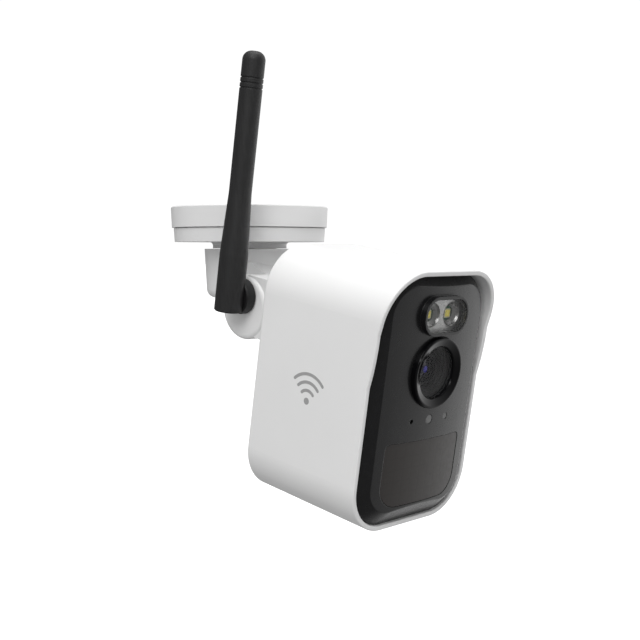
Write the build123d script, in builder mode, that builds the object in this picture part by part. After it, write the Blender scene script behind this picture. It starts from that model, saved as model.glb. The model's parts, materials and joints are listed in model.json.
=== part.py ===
from build123d import *
import os
from math import atan, cos, sin

# Battery security camera on a ceiling or wall mount, in millimetres.
#
# World frame: the origin is the centre of the mounting face, +Z points into the ceiling and the
# camera hangs below it, looking towards -Y. Its own right-hand side, with the antenna, is -X.
#
# Everything on the camera head is drawn upright in the head's own frame, whose origin is the tilt
# hinge's axis, and is moved to its rest position when it is written. There "forward" is the
# distance from the hinge axis towards the front, along -Y.

# Mount
DISC_RADIUS = 35.0
PLATE_DEPTH = 9.3
COVER_RADIUS = 33.8
COVER_BOTTOM = -15.6
NECK_RADIUS = 16.5
NECK_BOTTOM = -18.4
SCREW_CIRCLE = 44.0
SCREW_HOLE_RADIUS = 2.2

# Pan head
CUP_TOP = -18.6
CUP_BOTTOM = -40.4
CUP_RADIUS = 20.2
CUP_LOW_RADIUS = 19.1
KNUCKLE_RADIUS = 11.5
KNUCKLE_HALF = 14.3

# Tilt hinge, where the head hangs
HINGE_Y = -27.0
HINGE_Z = -42.7
REST_TILT = 9.3

# Camera body
BODY_WIDTH = 68.3
BODY_TOP = 29.5
BODY_BOTTOM = -73.0
TOP_RADIUS = 19.5
BOTTOM_RADIUS = 19.0
WALL = 2.0
REAR = 17.35
RIM = 76.8
FACE = 81.1
CROWN_RADIUS = 165.0

# Hood: the rim leans forward above HOOD_START, first on an arc and then straight
HOOD_START = -14.7
HOOD_ARC = 110.0
HOOD_SLOPE = 0.185

# Face features, as heights above the hinge axis
LIGHT_Z = 12.2
LENS_Z = -10.2
DOTS_Z = -28.8
PIR_TOP = -36.8
PIR_BOTTOM = -62.5
DOT_SPACING = 10.4

# Antenna
ROD_X = -36.6
ROD_Y = -0.25
ROD_BOTTOM = -1.3
ROD_TOP = 102.6
ROD_BASE_RADIUS = 5.8
ROD_TIP_RADIUS = 4.6
ROD_FLARE_BOTTOM = 22.0
ROD_FLARE_TOP = 47.0
HUB_Z = 4.8
HUB_RADIUS = 7.4

# Standard fits and fasteners
SHAFT_RADIUS = 2.5
RUNNING_GAP = 0.05
GAP = 0.15

# Corner fixings and board, in front view
CORNER_X = 24.5
UPPER_FIXING_Z = 19.9
LOWER_FIXING_Z = -63.4
BOARD_BACK = 56.0
BOARD_FRONT = 57.2

# Charging well in the rear cover
WELL_Z = -29.0
WELL_WIDTH = 25.0
WELL_HEIGHT = 12.0
WELL_DEPTH = 8.0
SOCKET_X = -5.0
BUTTON_X = 7.0

os.makedirs("parts", exist_ok=True)
HEAD = Location((0, HINGE_Y, HINGE_Z), (REST_TILT, 0, 0))
CORNERS = [
    (-CORNER_X, UPPER_FIXING_Z),
    (CORNER_X, UPPER_FIXING_Z),
    (-CORNER_X, LOWER_FIXING_Z),
    (CORNER_X, LOWER_FIXING_Z),
]


def write(piece, name, place=None):
    """Move a finished piece to its rest position, label it and write its STEP."""
    if place is not None:
        piece.part = piece.part.moved(place)
    piece.part.label = name
    export_step(piece.part, f"parts/{name}.step")


def facing(forward):
    """Plane of a front view at a forward distance: x is +X, y is up, extrusion goes forward."""
    return Plane.XZ.offset(forward)


def outline(inset, low_inset=None, high_inset=None):
    """Draw the housing's outline, inset from its outer face, in the open sketch."""
    low = inset if low_inset is None else low_inset
    high = inset if high_inset is None else high_inset
    half = BODY_WIDTH / 2 - inset
    top = BODY_TOP - high
    bottom = BODY_BOTTOM + low
    upper = TOP_RADIUS - inset
    lower = BOTTOM_RADIUS - inset
    corners = [(half, top), (-half, top), (-half, bottom), (half, bottom)]
    with BuildLine() as edge:
        FilletPolyline(*corners, radius=[upper, upper, lower, lower], close=True)
    make_face(edge.line)


def pir_outline(inset):
    """Draw the motion window's outline, with tight upper and wide lower corners."""
    half = 22.4 - inset
    corners = [(half, PIR_TOP - inset), (-half, PIR_TOP - inset)]
    corners += [(-half, PIR_BOTTOM + inset), (half, PIR_BOTTOM + inset)]
    with BuildLine() as edge:
        FilletPolyline(*corners, radius=[2.5, 2.5, 9.0, 9.0], close=True)
    make_face(edge.line)


def slab(back, front, width, height, z, x=0.0, corner=1.0, mode=Mode.ADD):
    """Rounded rectangle standing in front view, from one forward distance to another."""
    with BuildSketch(facing(back)) as profile:
        with Locations((x, z)):
            RectangleRounded(width, height, corner)
    extrude(profile.sketch, amount=front - back, mode=mode)


def crown(front):
    """Cut the part to a face that bulges from side to side, as far forward as front in its middle."""
    with BuildSketch(Plane.XY.offset(BODY_BOTTOM)) as profile:
        with Locations((0, CROWN_RADIUS - front)):
            Circle(CROWN_RADIUS)
    extrude(profile.sketch, amount=BODY_TOP - BODY_BOTTOM, mode=Mode.INTERSECT)


def rod(back, front, radius, z, x=0.0, mode=Mode.ADD):
    """Round bar that points forward, from one forward distance to another."""
    with BuildSketch(facing(back)) as profile:
        with Locations((x, z)):
            Circle(radius)
    extrude(profile.sketch, amount=front - back, mode=mode)


def turned(points, z, x=0.0, mode=Mode.ADD):
    """Revolve (radius, forward) points about an axis that points forward."""
    with BuildSketch(Plane((x, 0, z), x_dir=(1, 0, 0), z_dir=(0, 0, 1))) as profile:
        with BuildLine() as edge:
            Polyline(*[(radius, -forward) for radius, forward in points], close=True)
        make_face(edge.line)
    revolve(profile.sketch, axis=Axis((x, 0, z), (0, 1, 0)), mode=mode)


def crosswise(x_start, x_end, radius, y=0.0, z=0.0, mode=Mode.ADD):
    """Round bar along X."""
    with BuildSketch(Plane.YZ.offset(x_start)) as profile:
        with Locations((y, z)):
            Circle(radius)
    extrude(profile.sketch, amount=x_end - x_start, mode=mode)


def upright(z_start, z_end, radius, hole=0.0, mode=Mode.ADD):
    """Round bar or tube along the pan axis."""
    with BuildSketch(Plane.XY.offset(z_start)) as profile:
        Circle(radius)
        if hole:
            Circle(hole, mode=Mode.SUBTRACT)
    extrude(profile.sketch, amount=z_end - z_start, mode=mode)


# ---------------------------------------------------------------- mount, fixed to the ceiling

PLATE_FLOOR = -3.2
TAB_START = 30

# Shallow dish with three screw holes and three bayonet tabs inside its rim
with BuildPart() as mounting_plate:
    with BuildSketch(Plane.XZ):
        with BuildLine():
            Polyline(
                (0, 0),
                (DISC_RADIUS - 0.5, 0),
                (DISC_RADIUS, -0.5),
                (DISC_RADIUS - 0.4, -PLATE_DEPTH),
                (32.6, -PLATE_DEPTH),
                (32.6, PLATE_FLOOR),
                (0, PLATE_FLOOR),
                close=True,
            )
        make_face()
    revolve(axis=Axis.Z)
    with BuildSketch(Plane.XY.offset(-9.2)):
        with PolarLocations(0, 3, start_angle=TAB_START):
            with Locations((31.8, 0)):
                Rectangle(2.6, 14)
    extrude(amount=2.2)
    with BuildSketch(Plane.XY.offset(PLATE_FLOOR)):
        with PolarLocations(SCREW_CIRCLE / 2, 3, start_angle=90):
            Circle(4.4)
    extrude(amount=-1.0)
    with BuildSketch(Plane.XY.offset(-6)):
        with PolarLocations(SCREW_CIRCLE / 2, 3, start_angle=90):
            Circle(SCREW_HOLE_RADIUS)
    extrude(amount=8, mode=Mode.SUBTRACT)
write(mounting_plate, "mounting_plate")

# Lower tier with its spigot, bayonet lugs and the flared pan neck
SPIGOT_TOP = -4.4
with BuildPart() as mount_cover:
    with BuildSketch(Plane.XZ) as cover_profile:
        with BuildLine():
            Polyline(
                (SHAFT_RADIUS + RUNNING_GAP, NECK_BOTTOM),
                (NECK_RADIUS, NECK_BOTTOM),
                (NECK_RADIUS, COVER_BOTTOM),
                (COVER_RADIUS - 0.4, COVER_BOTTOM),
                (COVER_RADIUS, -9.6),
                (32.3, -9.6),
                (32.3, -PLATE_DEPTH),
                (30.0, -PLATE_DEPTH),
                (30.0, SPIGOT_TOP),
                (27.6, SPIGOT_TOP),
                (27.6, -13.0),
                (9.0, -13.0),
                (9.0, -12.0),
                (SHAFT_RADIUS + RUNNING_GAP, -12.0),
                close=True,
            )
        make_face()
        corners = cover_profile.vertices()
        fillet(corners.filter_by(lambda v: abs(v.X - NECK_RADIUS) < 0.01).sort_by(Axis.Y)[-1], 1.7)
        fillet(corners.filter_by(lambda v: abs(v.X - 33.4) < 0.01)[0], 1.0)
    revolve(axis=Axis.Z)
    with BuildSketch(Plane.XY.offset(-6.8)):
        with PolarLocations(0, 3, start_angle=TAB_START):
            with Locations((30.3, 0)):
                Rectangle(3.0, 13)
    extrude(amount=2.2)
write(mount_cover, "mount_cover")

# ---------------------------------------------------------------- pan head, turns about Z

WASHER_RECESS = 0.8
POCKET_RADIUS = 5.6
POCKET_TOP = -30.0
with BuildPart() as pan_head:
    with BuildSketch(Plane.XZ) as cup_profile:
        with BuildLine():
            Polyline(
                (0, CUP_TOP),
                (CUP_RADIUS, CUP_TOP),
                (CUP_LOW_RADIUS, CUP_BOTTOM),
                (0, CUP_BOTTOM),
                close=True,
            )
        make_face()
        edge = cup_profile.vertices().filter_by(lambda v: abs(v.X - CUP_LOW_RADIUS) < 0.01)[0]
        fillet(edge, 4.0)
    revolve(axis=Axis.Z)
    with BuildSketch(Plane.YZ) as arm_profile:
        with Locations((HINGE_Y, HINGE_Z)):
            Circle(KNUCKLE_RADIUS)
        with Locations((-12.5, -32.2)):
            Rectangle(7, 16)
        make_hull()
    extrude(amount=KNUCKLE_HALF, both=True)
    upright(CUP_TOP - WASHER_RECESS, CUP_TOP + 1, 12.2, mode=Mode.SUBTRACT)
    upright(POCKET_TOP, CUP_TOP, SHAFT_RADIUS + RUNNING_GAP, mode=Mode.SUBTRACT)
    upright(CUP_BOTTOM - 1, POCKET_TOP, POCKET_RADIUS, mode=Mode.SUBTRACT)
    crosswise(-20, 20, SHAFT_RADIUS + RUNNING_GAP, HINGE_Y, HINGE_Z, mode=Mode.SUBTRACT)
write(pan_head, "pan_head")

with BuildPart() as pan_washer:
    upright(CUP_TOP - WASHER_RECESS, NECK_BOTTOM - RUNNING_GAP, 12.0, SHAFT_RADIUS + RUNNING_GAP)
write(pan_washer, "pan_washer")

# Socket-head screw that holds the cup to the neck and turns with the cup
with BuildPart() as pan_screw:
    upright(-34.0, POCKET_TOP, 4.3)
    upright(POCKET_TOP, -6.0, SHAFT_RADIUS)
    with BuildSketch(Plane.XY.offset(-34.0)):
        RegularPolygon(2.2, 6)
    extrude(amount=2.4, mode=Mode.SUBTRACT)
write(pan_screw, "pan_screw")

with BuildPart() as pan_nut:
    with BuildSketch(Plane.XY.offset(-10.8)):
        RegularPolygon(4.0, 6, major_radius=False)
        Circle(SHAFT_RADIUS, mode=Mode.SUBTRACT)
    extrude(amount=4.0)
write(pan_nut, "pan_nut")

with BuildPart() as pan_spring_washer:
    upright(-12.0 + RUNNING_GAP, -10.8, 4.8, SHAFT_RADIUS + RUNNING_GAP)
    with BuildSketch(Plane.XY.offset(-12.0)):
        with Locations((3.8, 0)):
            Rectangle(3.6, 0.5)
    extrude(amount=2, mode=Mode.SUBTRACT)
write(pan_spring_washer, "pan_spring_washer")

with BuildPart() as pan_cap:
    upright(CUP_BOTTOM, CUP_BOTTOM + 3.0, POCKET_RADIUS - 0.05)
    chamfer(pan_cap.edges().group_by(Axis.Z)[0], 0.5)
write(pan_cap, "pan_cap")

with BuildPart() as tilt_washers:
    for side in (-1, 1):
        start = side * (KNUCKLE_HALF + RUNNING_GAP)
        crosswise(start, start + side * 0.6, 9.0)
    crosswise(-20, 20, SHAFT_RADIUS + RUNNING_GAP, mode=Mode.SUBTRACT)
write(tilt_washers, "tilt_washers", Location((0, HINGE_Y, HINGE_Z)))

# ---------------------------------------------------------------- camera head: housing

LEDGE_BACK = 64.0
LEDGE_FRONT = 69.0
SEAL_FRONT = 70.0
BOSS_RADIUS = 4.4
BOSS_DEPTH = 34.0
hood_angle = atan(HOOD_SLOPE)
hood_bend_z = HOOD_START + HOOD_ARC * sin(hood_angle)
hood_bend_forward = RIM + HOOD_ARC * (1 - cos(hood_angle))
hood_top = BODY_TOP + 1
hood_forward = hood_bend_forward + (hood_top - hood_bend_z) * HOOD_SLOPE

# White sleeve: open at both ends, with a hood, a ledge for the face and eight screw bosses
with BuildPart() as housing:
    with BuildSketch(facing(REAR)):
        outline(0)
    extrude(amount=hood_forward - REAR + 2)
    fillet(housing.edges().group_by(Axis.Y)[-1], 1.2)
    with BuildSketch(facing(REAR - 1)):
        outline(WALL)
    extrude(amount=hood_forward, mode=Mode.SUBTRACT)
    with BuildSketch(facing(LEDGE_BACK)):
        outline(WALL - 0.2)
    extrude(amount=LEDGE_FRONT - LEDGE_BACK)
    with BuildSketch(facing(LEDGE_BACK)):
        outline(WALL + 2.6)
    extrude(amount=LEDGE_FRONT - LEDGE_BACK, mode=Mode.SUBTRACT)
    for x, z in CORNERS:
        rod(20.3, BOSS_DEPTH, BOSS_RADIUS, z, x)
        rod(20.3, BOSS_DEPTH - 2, 1.25, z, x, mode=Mode.SUBTRACT)
        rod(LEDGE_BACK, LEDGE_FRONT, BOSS_RADIUS, z, x)
        rod(LEDGE_BACK, LEDGE_FRONT, 1.6, z, x, mode=Mode.SUBTRACT)
    with BuildSketch(Plane.YZ):
        with BuildLine():
            bottom = (-RIM, BODY_BOTTOM - 1)
            foot = (-RIM, HOOD_START)
            bend = (-hood_bend_forward, hood_bend_z)
            top = (-hood_forward, hood_top)
            Line(bottom, foot)
            RadiusArc(foot, bend, HOOD_ARC)
            Line(bend, top)
            Polyline(top, (-REAR + 1, hood_top), (-REAR + 1, BODY_BOTTOM - 1), bottom)
        make_face()
    extrude(amount=BODY_WIDTH, both=True, mode=Mode.INTERSECT)
    rim_faces = housing.faces().filter_by(lambda face: face.normal_at().Y < -0.9 and face.center().Y < 1 - RIM)
    fillet(rim_faces.edges(), 0.5)
write(housing, "housing", HEAD)

# ---------------------------------------------------------------- camera head: rear cover

COVER_INSET = WALL + 0.2
COVER_BACK = REAR + 0.4
COVER_FRONT = 20.1
LUG_INNER = 15.0
LUG_STEP = 23.0
LUG_OUTER = 28.4
LUG_RADIUS = 13.5
LUG_EDGE = 2.2
WEB_OUTER = 27.4
WEB_TOP = 13.6
WEB_BOTTOM = -11.4
CABLE_INNER = -20.5
CABLE_OUTER = -27.0
SCREW_HEAD_SEAT = 22.0
GRILLE_Z = -54.0
GRILLE_RINGS = [(1, 0.0), (6, 2.9), (12, 5.8), (18, 8.7)]
FLAP_AXIS_FORWARD = REAR - 1.5
FLAP_AXIS_Z = WELL_Z - WELL_HEIGHT / 2 - 2.9


def screw_heads(radius, mode):
    """Round seats at the four corner fixings, from the cover's back."""
    for x, z in CORNERS:
        rod(COVER_BACK - 1, COVER_BACK + 1.0, radius, z, x, mode=mode)


# White rear cover with the two hinge lugs, the charging well and the speaker grille
with BuildPart() as rear_cover:
    with BuildSketch(facing(COVER_BACK)):
        outline(COVER_INSET)
    extrude(amount=COVER_FRONT - COVER_BACK)
    for side in (-1, 1):
        with BuildSketch(Plane.XZ):
            with BuildLine():
                Polyline(
                    (side * LUG_OUTER, 0),
                    (side * LUG_INNER, 0),
                    (side * LUG_INNER, -WEB_BOTTOM),
                    (side * LUG_STEP, -WEB_BOTTOM),
                    (side * LUG_STEP, LUG_RADIUS),
                    (side * (LUG_OUTER - LUG_EDGE), LUG_RADIUS),
                )
                RadiusArc(
                    (side * (LUG_OUTER - LUG_EDGE), LUG_RADIUS),
                    (side * LUG_OUTER, LUG_RADIUS - LUG_EDGE),
                    side * LUG_EDGE,
                )
                Line((side * LUG_OUTER, LUG_RADIUS - LUG_EDGE), (side * LUG_OUTER, 0))
            make_face()
        revolve(axis=Axis.X)
        web_middle = side * (LUG_INNER + WEB_OUTER) / 2
        web_height = WEB_TOP - WEB_BOTTOM
        with BuildSketch(facing(0)):
            with Locations((web_middle, (WEB_TOP + WEB_BOTTOM) / 2)):
                Rectangle(WEB_OUTER - LUG_INNER, web_height)
        extrude(amount=COVER_BACK)
    slab(REAR, COVER_FRONT + 8, WELL_WIDTH + 3.2, WELL_HEIGHT + 3.2, WELL_Z, corner=3.6)
    slab(REAR - 1, REAR + WELL_DEPTH, WELL_WIDTH, WELL_HEIGHT, WELL_Z, corner=2, mode=Mode.SUBTRACT)
    slab(REAR, COVER_FRONT + 9, 9.3, 3.6, WELL_Z, SOCKET_X, 1.7, mode=Mode.SUBTRACT)
    rod(REAR, COVER_FRONT + 9, 3.15, WELL_Z, BUTTON_X, mode=Mode.SUBTRACT)
    well_back = REAR + WELL_DEPTH + 1.6
    slab(well_back, COVER_FRONT + 9, WELL_WIDTH, WELL_HEIGHT, WELL_Z, corner=2, mode=Mode.SUBTRACT)
    for count, radius in GRILLE_RINGS:
        with BuildSketch(facing(COVER_BACK - 1)):
            with Locations((0, GRILLE_Z)):
                with PolarLocations(radius, count):
                    Circle(0.75)
        extrude(amount=5, mode=Mode.SUBTRACT)
    screw_heads(2.8, Mode.SUBTRACT)
    for x, z in CORNERS:
        rod(COVER_BACK, COVER_FRONT + 1, 1.6, z, x, mode=Mode.SUBTRACT)
    crosswise(-19.9, 40, SHAFT_RADIUS + RUNNING_GAP, mode=Mode.SUBTRACT)
    crosswise(-19.9, -LUG_INNER + 1, 3.6, mode=Mode.SUBTRACT)
    crosswise(SCREW_HEAD_SEAT, LUG_OUTER + 1, 4.8, mode=Mode.SUBTRACT)
    crosswise(-LUG_OUTER - 1, CABLE_INNER, 2.56, ROD_Y, HUB_Z, mode=Mode.SUBTRACT)
    cable_middle = (CABLE_INNER + CABLE_OUTER) / 2
    cable_width = CABLE_INNER - CABLE_OUTER
    slab(-4.4, COVER_FRONT + 1, cable_width, 8.8, HUB_Z, cable_middle, 0.8, mode=Mode.SUBTRACT)
write(rear_cover, "rear_cover", HEAD)

with BuildPart() as cover_seal:
    with BuildSketch(facing(COVER_FRONT)):
        outline(COVER_INSET)
    extrude(amount=0.2 + 1.0)
    with BuildSketch(facing(COVER_FRONT)):
        outline(COVER_INSET + 1.4)
    extrude(amount=0.2 + 1.0, mode=Mode.SUBTRACT)
    for x, z in CORNERS:
        rod(COVER_FRONT, COVER_FRONT + 2, BOSS_RADIUS + 0.1, z, x, mode=Mode.SUBTRACT)
write(cover_seal, "cover_seal", HEAD)

with BuildPart() as cover_screws:
    for x, z in CORNERS:
        rod(COVER_BACK - 0.8, COVER_BACK + 1.0, 2.6, z, x)
        rod(COVER_BACK + 1.0, 29.0, 1.25, z, x)
        with BuildSketch(facing(COVER_BACK - 0.8)):
            with Locations((x, z)):
                Rectangle(2.6, 0.7)
                Rectangle(0.7, 2.6)
        extrude(amount=1.1, mode=Mode.SUBTRACT)
write(cover_screws, "cover_screws", HEAD)

# Shoulder screw through both lugs and the pan head's knuckle
with BuildPart() as tilt_screw:
    crosswise(SCREW_HEAD_SEAT, SCREW_HEAD_SEAT + 3.6, 4.3)
    crosswise(-19.6, SCREW_HEAD_SEAT, SHAFT_RADIUS)
    with BuildSketch(Plane.YZ.offset(SCREW_HEAD_SEAT + 3.6)):
        RegularPolygon(2.2, 6)
    extrude(amount=-2.2, mode=Mode.SUBTRACT)
write(tilt_screw, "tilt_screw", HEAD)

with BuildPart() as tilt_insert:
    crosswise(-19.8, -LUG_INNER - 0.1, 3.55)
    crosswise(-20, -LUG_INNER, SHAFT_RADIUS, mode=Mode.SUBTRACT)
write(tilt_insert, "tilt_insert", HEAD)

with BuildPart() as tilt_cap:
    crosswise(26.2, LUG_OUTER, 4.75)
    chamfer(tilt_cap.edges().group_by(Axis.X)[-1], 0.4)
write(tilt_cap, "tilt_cap", HEAD)

# ---------------------------------------------------------------- charging port and button

with BuildPart() as charge_board:
    slab(31.8, 33.0, 34, 22, WELL_Z - 2)
write(charge_board, "charge_board", HEAD)

with BuildPart() as usb_socket:
    slab(REAR + WELL_DEPTH + 0.2, 31.8, 9.0, 3.26, WELL_Z, SOCKET_X, 1.6)
    slab(REAR + WELL_DEPTH, 31.0, 8.34, 2.56, WELL_Z, SOCKET_X, 1.2, mode=Mode.SUBTRACT)
write(usb_socket, "usb_socket", HEAD)

with BuildPart() as usb_tongue:
    slab(REAR + WELL_DEPTH + 1.0, 31.0, 6.7, 0.7, WELL_Z, SOCKET_X, 0.3)
write(usb_tongue, "usb_tongue", HEAD)

with BuildPart() as button_switch:
    slab(29.6, 31.8, 6, 6, WELL_Z, BUTTON_X, 0.4)
write(button_switch, "button_switch", HEAD)

with BuildPart() as power_button:
    rod(REAR + WELL_DEPTH - 1.6, 28.8, 3.0, WELL_Z, BUTTON_X)
    rod(27.0, 28.2, 4.4, WELL_Z, BUTTON_X)
    fillet(power_button.edges().group_by(Axis.Y)[-1], 0.5)
write(power_button, "power_button", HEAD)

# Rubber weather flap: a plug for the well and a plate that swings on its lower edge
with BuildPart() as port_flap:
    slab(REAR - 2.2, REAR - 0.1, WELL_WIDTH + 4, WELL_HEIGHT + 3.0, WELL_Z + 0.6, corner=3)
    fillet(port_flap.edges().group_by(Axis.Y)[-1], 0.8)
    slab(REAR - 0.2, REAR + 1.6, WELL_WIDTH - 0.6, WELL_HEIGHT - 1.4, WELL_Z - 0.4, corner=2)
    slab(REAR - 3.2, REAR - 2.0, 12, 2.0, WELL_Z + 6.2, corner=0.9)
    slab(REAR - 2.2, REAR - 0.8, 15.6, 1.8, FLAP_AXIS_Z + 1.8, corner=0.1)
    crosswise(-8, 8, 1.2, -FLAP_AXIS_FORWARD, FLAP_AXIS_Z)
write(port_flap, "port_flap", HEAD)

# Fixed ends of the flap's rubber strap, pressed into the cover
with BuildPart() as flap_strap:
    for side in (-1, 1):
        crosswise(side * 8.2, side * 11.5, 1.2, -FLAP_AXIS_FORWARD, FLAP_AXIS_Z)
        slab(FLAP_AXIS_FORWARD, COVER_BACK, 3.3, 2.4, FLAP_AXIS_Z, side * 9.85, 0.3)
write(flap_strap, "flap_strap", HEAD)

# ---------------------------------------------------------------- speaker and battery

with BuildPart() as speaker:
    rod(COVER_FRONT + 0.6, COVER_FRONT + 5.6, 10.5, GRILLE_Z - 0.5)
    rod(COVER_FRONT + 5.6, COVER_FRONT + 8.4, 6.5, GRILLE_Z - 0.5)
    rod(COVER_FRONT, COVER_FRONT + 3.4, 9.2, GRILLE_Z - 0.5, mode=Mode.SUBTRACT)
write(speaker, "speaker", HEAD)

with BuildPart() as speaker_cone:
    cone_points = [(0, 22.7), (3.2, 22.3), (9.2, 21.4), (9.2, 21.8), (3.2, 22.7), (0, 23.1)]
    turned(cone_points, GRILLE_Z - 0.5)
write(speaker_cone, "speaker_cone", HEAD)

with BuildPart() as battery_pack:
    slab(34.6, 53.4, 54, 50, -36.0, corner=4)
    fillet(battery_pack.edges().group_by(Axis.Y)[-1], 3.0)
    fillet(battery_pack.edges().group_by(Axis.Y)[0], 3.0)
write(battery_pack, "battery_pack", HEAD)

# ---------------------------------------------------------------- black face

BEVEL_BACK = 75.4
BEVEL_SIDE = 8.0
BEVEL_LOW = 7.6
BEVEL_HIGH = 4.2
CAVITY_FRONT = 76.6
BEZEL_INSET = WALL + GAP
BOSS_FRONT = FACE + 2.0
RING_SEAT = FACE - 1.1
RING_RADIUS = 14.0
WINDOW_WIDTH = 24.0
WINDOW_HEIGHT = 12.4
STANDOFFS = [(-21.5, 12.5), (21.5, 12.5), (-22.0, -33.0), (22.0, -33.0)]

# Bevelled face plate with the light's boss and openings for every front feature
with BuildPart() as front_bezel:
    with BuildSketch(facing(SEAL_FRONT)):
        outline(BEZEL_INSET)
    extrude(amount=BEVEL_BACK - SEAL_FRONT)
    with BuildSketch(facing(BEVEL_BACK)):
        outline(BEZEL_INSET)
    with BuildSketch(facing(FACE)):
        low_inset = BEZEL_INSET + BEVEL_LOW
        outline(BEZEL_INSET + BEVEL_SIDE, low_inset, BEZEL_INSET + BEVEL_HIGH)
    loft()
    crown(FACE)
    crown_face = front_bezel.faces().filter_by(GeomType.CYLINDER).sort_by(SortBy.AREA)[-1]
    fillet(crown_face.edges(), 1.0)
    slab(FACE - 2, BOSS_FRONT, 26.6, 15.2, LIGHT_Z, corner=7.5)
    slab(SEAL_FRONT, CAVITY_FRONT, 51.0, 84.0, -22.0, corner=11, mode=Mode.SUBTRACT)
    for x, z in STANDOFFS:
        rod(BOARD_FRONT, FACE - 2, 2.6, z, x)
        rod(BOARD_FRONT, FACE - 8, 1.1, z, x, mode=Mode.SUBTRACT)
    slab(SEAL_FRONT, FACE - 0.9, 25.2, 13.4, LIGHT_Z, corner=6.5, mode=Mode.SUBTRACT)
    window_hole = (WINDOW_WIDTH + 0.3, WINDOW_HEIGHT + 0.3, LIGHT_Z)
    slab(SEAL_FRONT, BOSS_FRONT + 1, *window_hole, corner=6.1, mode=Mode.SUBTRACT)
    rod(SEAL_FRONT, FACE + 3, 13.0, LENS_Z, mode=Mode.SUBTRACT)
    rod(RING_SEAT, FACE + 3, RING_RADIUS + 0.05, LENS_Z, mode=Mode.SUBTRACT)
    rod(SEAL_FRONT, FACE + 2, 0.9, DOTS_Z, -DOT_SPACING, mode=Mode.SUBTRACT)
    rod(SEAL_FRONT, FACE + 2, 1.8, DOTS_Z, mode=Mode.SUBTRACT)
    rod(SEAL_FRONT, FACE + 2, 1.3, DOTS_Z, DOT_SPACING, mode=Mode.SUBTRACT)
    with BuildSketch(facing(SEAL_FRONT)):
        pir_outline(0)
    extrude(amount=FACE - SEAL_FRONT + 2, mode=Mode.SUBTRACT)
    for x, z in CORNERS:
        rod(SEAL_FRONT, SEAL_FRONT + 5, 1.2, z, x, mode=Mode.SUBTRACT)
write(front_bezel, "front_bezel", HEAD)

with BuildPart() as face_seal:
    with BuildSketch(facing(LEDGE_FRONT)):
        outline(BEZEL_INSET)
    extrude(amount=SEAL_FRONT - LEDGE_FRONT)
    with BuildSketch(facing(LEDGE_FRONT)):
        outline(WALL + 2.6)
    extrude(amount=SEAL_FRONT - LEDGE_FRONT, mode=Mode.SUBTRACT)
    for x, z in CORNERS:
        rod(LEDGE_FRONT, SEAL_FRONT, 1.8, z, x, mode=Mode.SUBTRACT)
write(face_seal, "face_seal", HEAD)

with BuildPart() as face_screws:
    for x, z in CORNERS:
        rod(LEDGE_BACK - 2.0, LEDGE_BACK, 2.6, z, x)
        rod(LEDGE_BACK, SEAL_FRONT + 4.6, 1.2, z, x)
write(face_screws, "face_screws", HEAD)

with BuildPart() as pir_window:
    with BuildSketch(facing(CAVITY_FRONT)):
        pir_outline(0.15)
    extrude(amount=FACE - CAVITY_FRONT)
    crown(FACE - 0.1)
write(pir_window, "pir_window", HEAD)

# ---------------------------------------------------------------- lens stack

RING_FRONT = FACE + 1.8
RING_BORE = 10.3

# Glossy ring: a tube through the face with a bevelled mouth
with BuildPart() as lens_ring:
    ring_points = [
        (RING_BORE, 72.0),
        (12.95, 72.0),
        (12.95, RING_SEAT),
        (RING_RADIUS, RING_SEAT),
        (RING_RADIUS, RING_FRONT - 0.5),
        (RING_RADIUS - 0.4, RING_FRONT),
        (RING_RADIUS - 0.9, RING_FRONT),
        (RING_BORE + 0.3, RING_FRONT - 0.9),
        (RING_BORE, RING_FRONT - 1.3),
    ]
    turned(ring_points, LENS_Z)
write(lens_ring, "lens_ring", HEAD)

with BuildPart() as lens_glass:
    rod(RING_FRONT - 3.0, RING_FRONT - 1.7, RING_BORE - 0.02, LENS_Z)
write(lens_glass, "lens_glass", HEAD)

# Black barrel with stepped anti-glare rings round the front element
BARREL_FRONT = RING_FRONT - 3.4
with BuildPart() as lens_barrel:
    barrel_points = [
        (5.6, 66.0),
        (9.0, 66.0),
        (9.0, 70.0),
        (10.2, 70.0),
        (10.2, BARREL_FRONT),
        (9.6, BARREL_FRONT),
        (8.4, BARREL_FRONT - 1.2),
        (8.4, BARREL_FRONT - 1.8),
        (7.5, BARREL_FRONT - 2.6),
        (7.5, BARREL_FRONT - 3.2),
        (6.6, BARREL_FRONT - 4.0),
        (5.6, BARREL_FRONT - 4.4),
    ]
    turned(barrel_points, LENS_Z)
write(lens_barrel, "lens_barrel", HEAD)

with BuildPart() as lens_element:
    element_sag = 1.8
    element_radius = 5.5
    element_front = BARREL_FRONT - 2.6
    element_back = BARREL_FRONT - 8.0
    dome_radius = (element_radius**2 + element_sag**2) / (2 * element_sag)
    with BuildSketch(Plane.XY.offset(LENS_Z)):
        with BuildLine():
            rim_point = (element_radius, element_sag - element_front)
            RadiusArc((0, -element_front), rim_point, dome_radius)
            Polyline(rim_point, (element_radius, -element_back), (0, -element_back))
            Line((0, -element_back), (0, -element_front))
        make_face()
    revolve(axis=Axis((0, 0, LENS_Z), (0, 1, 0)))
write(lens_element, "lens_element", HEAD)

with BuildPart() as lens_holder:
    slab(BOARD_FRONT, 64.0, 19.0, 19.0, LENS_Z, corner=1.5)
    rod(64.0, 66.0, 9.0, LENS_Z)
    rod(62.0, 66.0, 5.6, LENS_Z, mode=Mode.SUBTRACT)
    slab(BOARD_FRONT, 62.0, 13.0, 11.0, LENS_Z, corner=0.5, mode=Mode.SUBTRACT)
write(lens_holder, "lens_holder", HEAD)

with BuildPart() as image_sensor:
    slab(BOARD_FRONT, BOARD_FRONT + 1.2, 11.0, 9.0, LENS_Z, corner=0.3)
write(image_sensor, "image_sensor", HEAD)

# ---------------------------------------------------------------- spotlight

CUP_OFFSET = 5.95
LED_BOARD_BACK = 76.2
LED_BOARD_FRONT = 77.4

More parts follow.
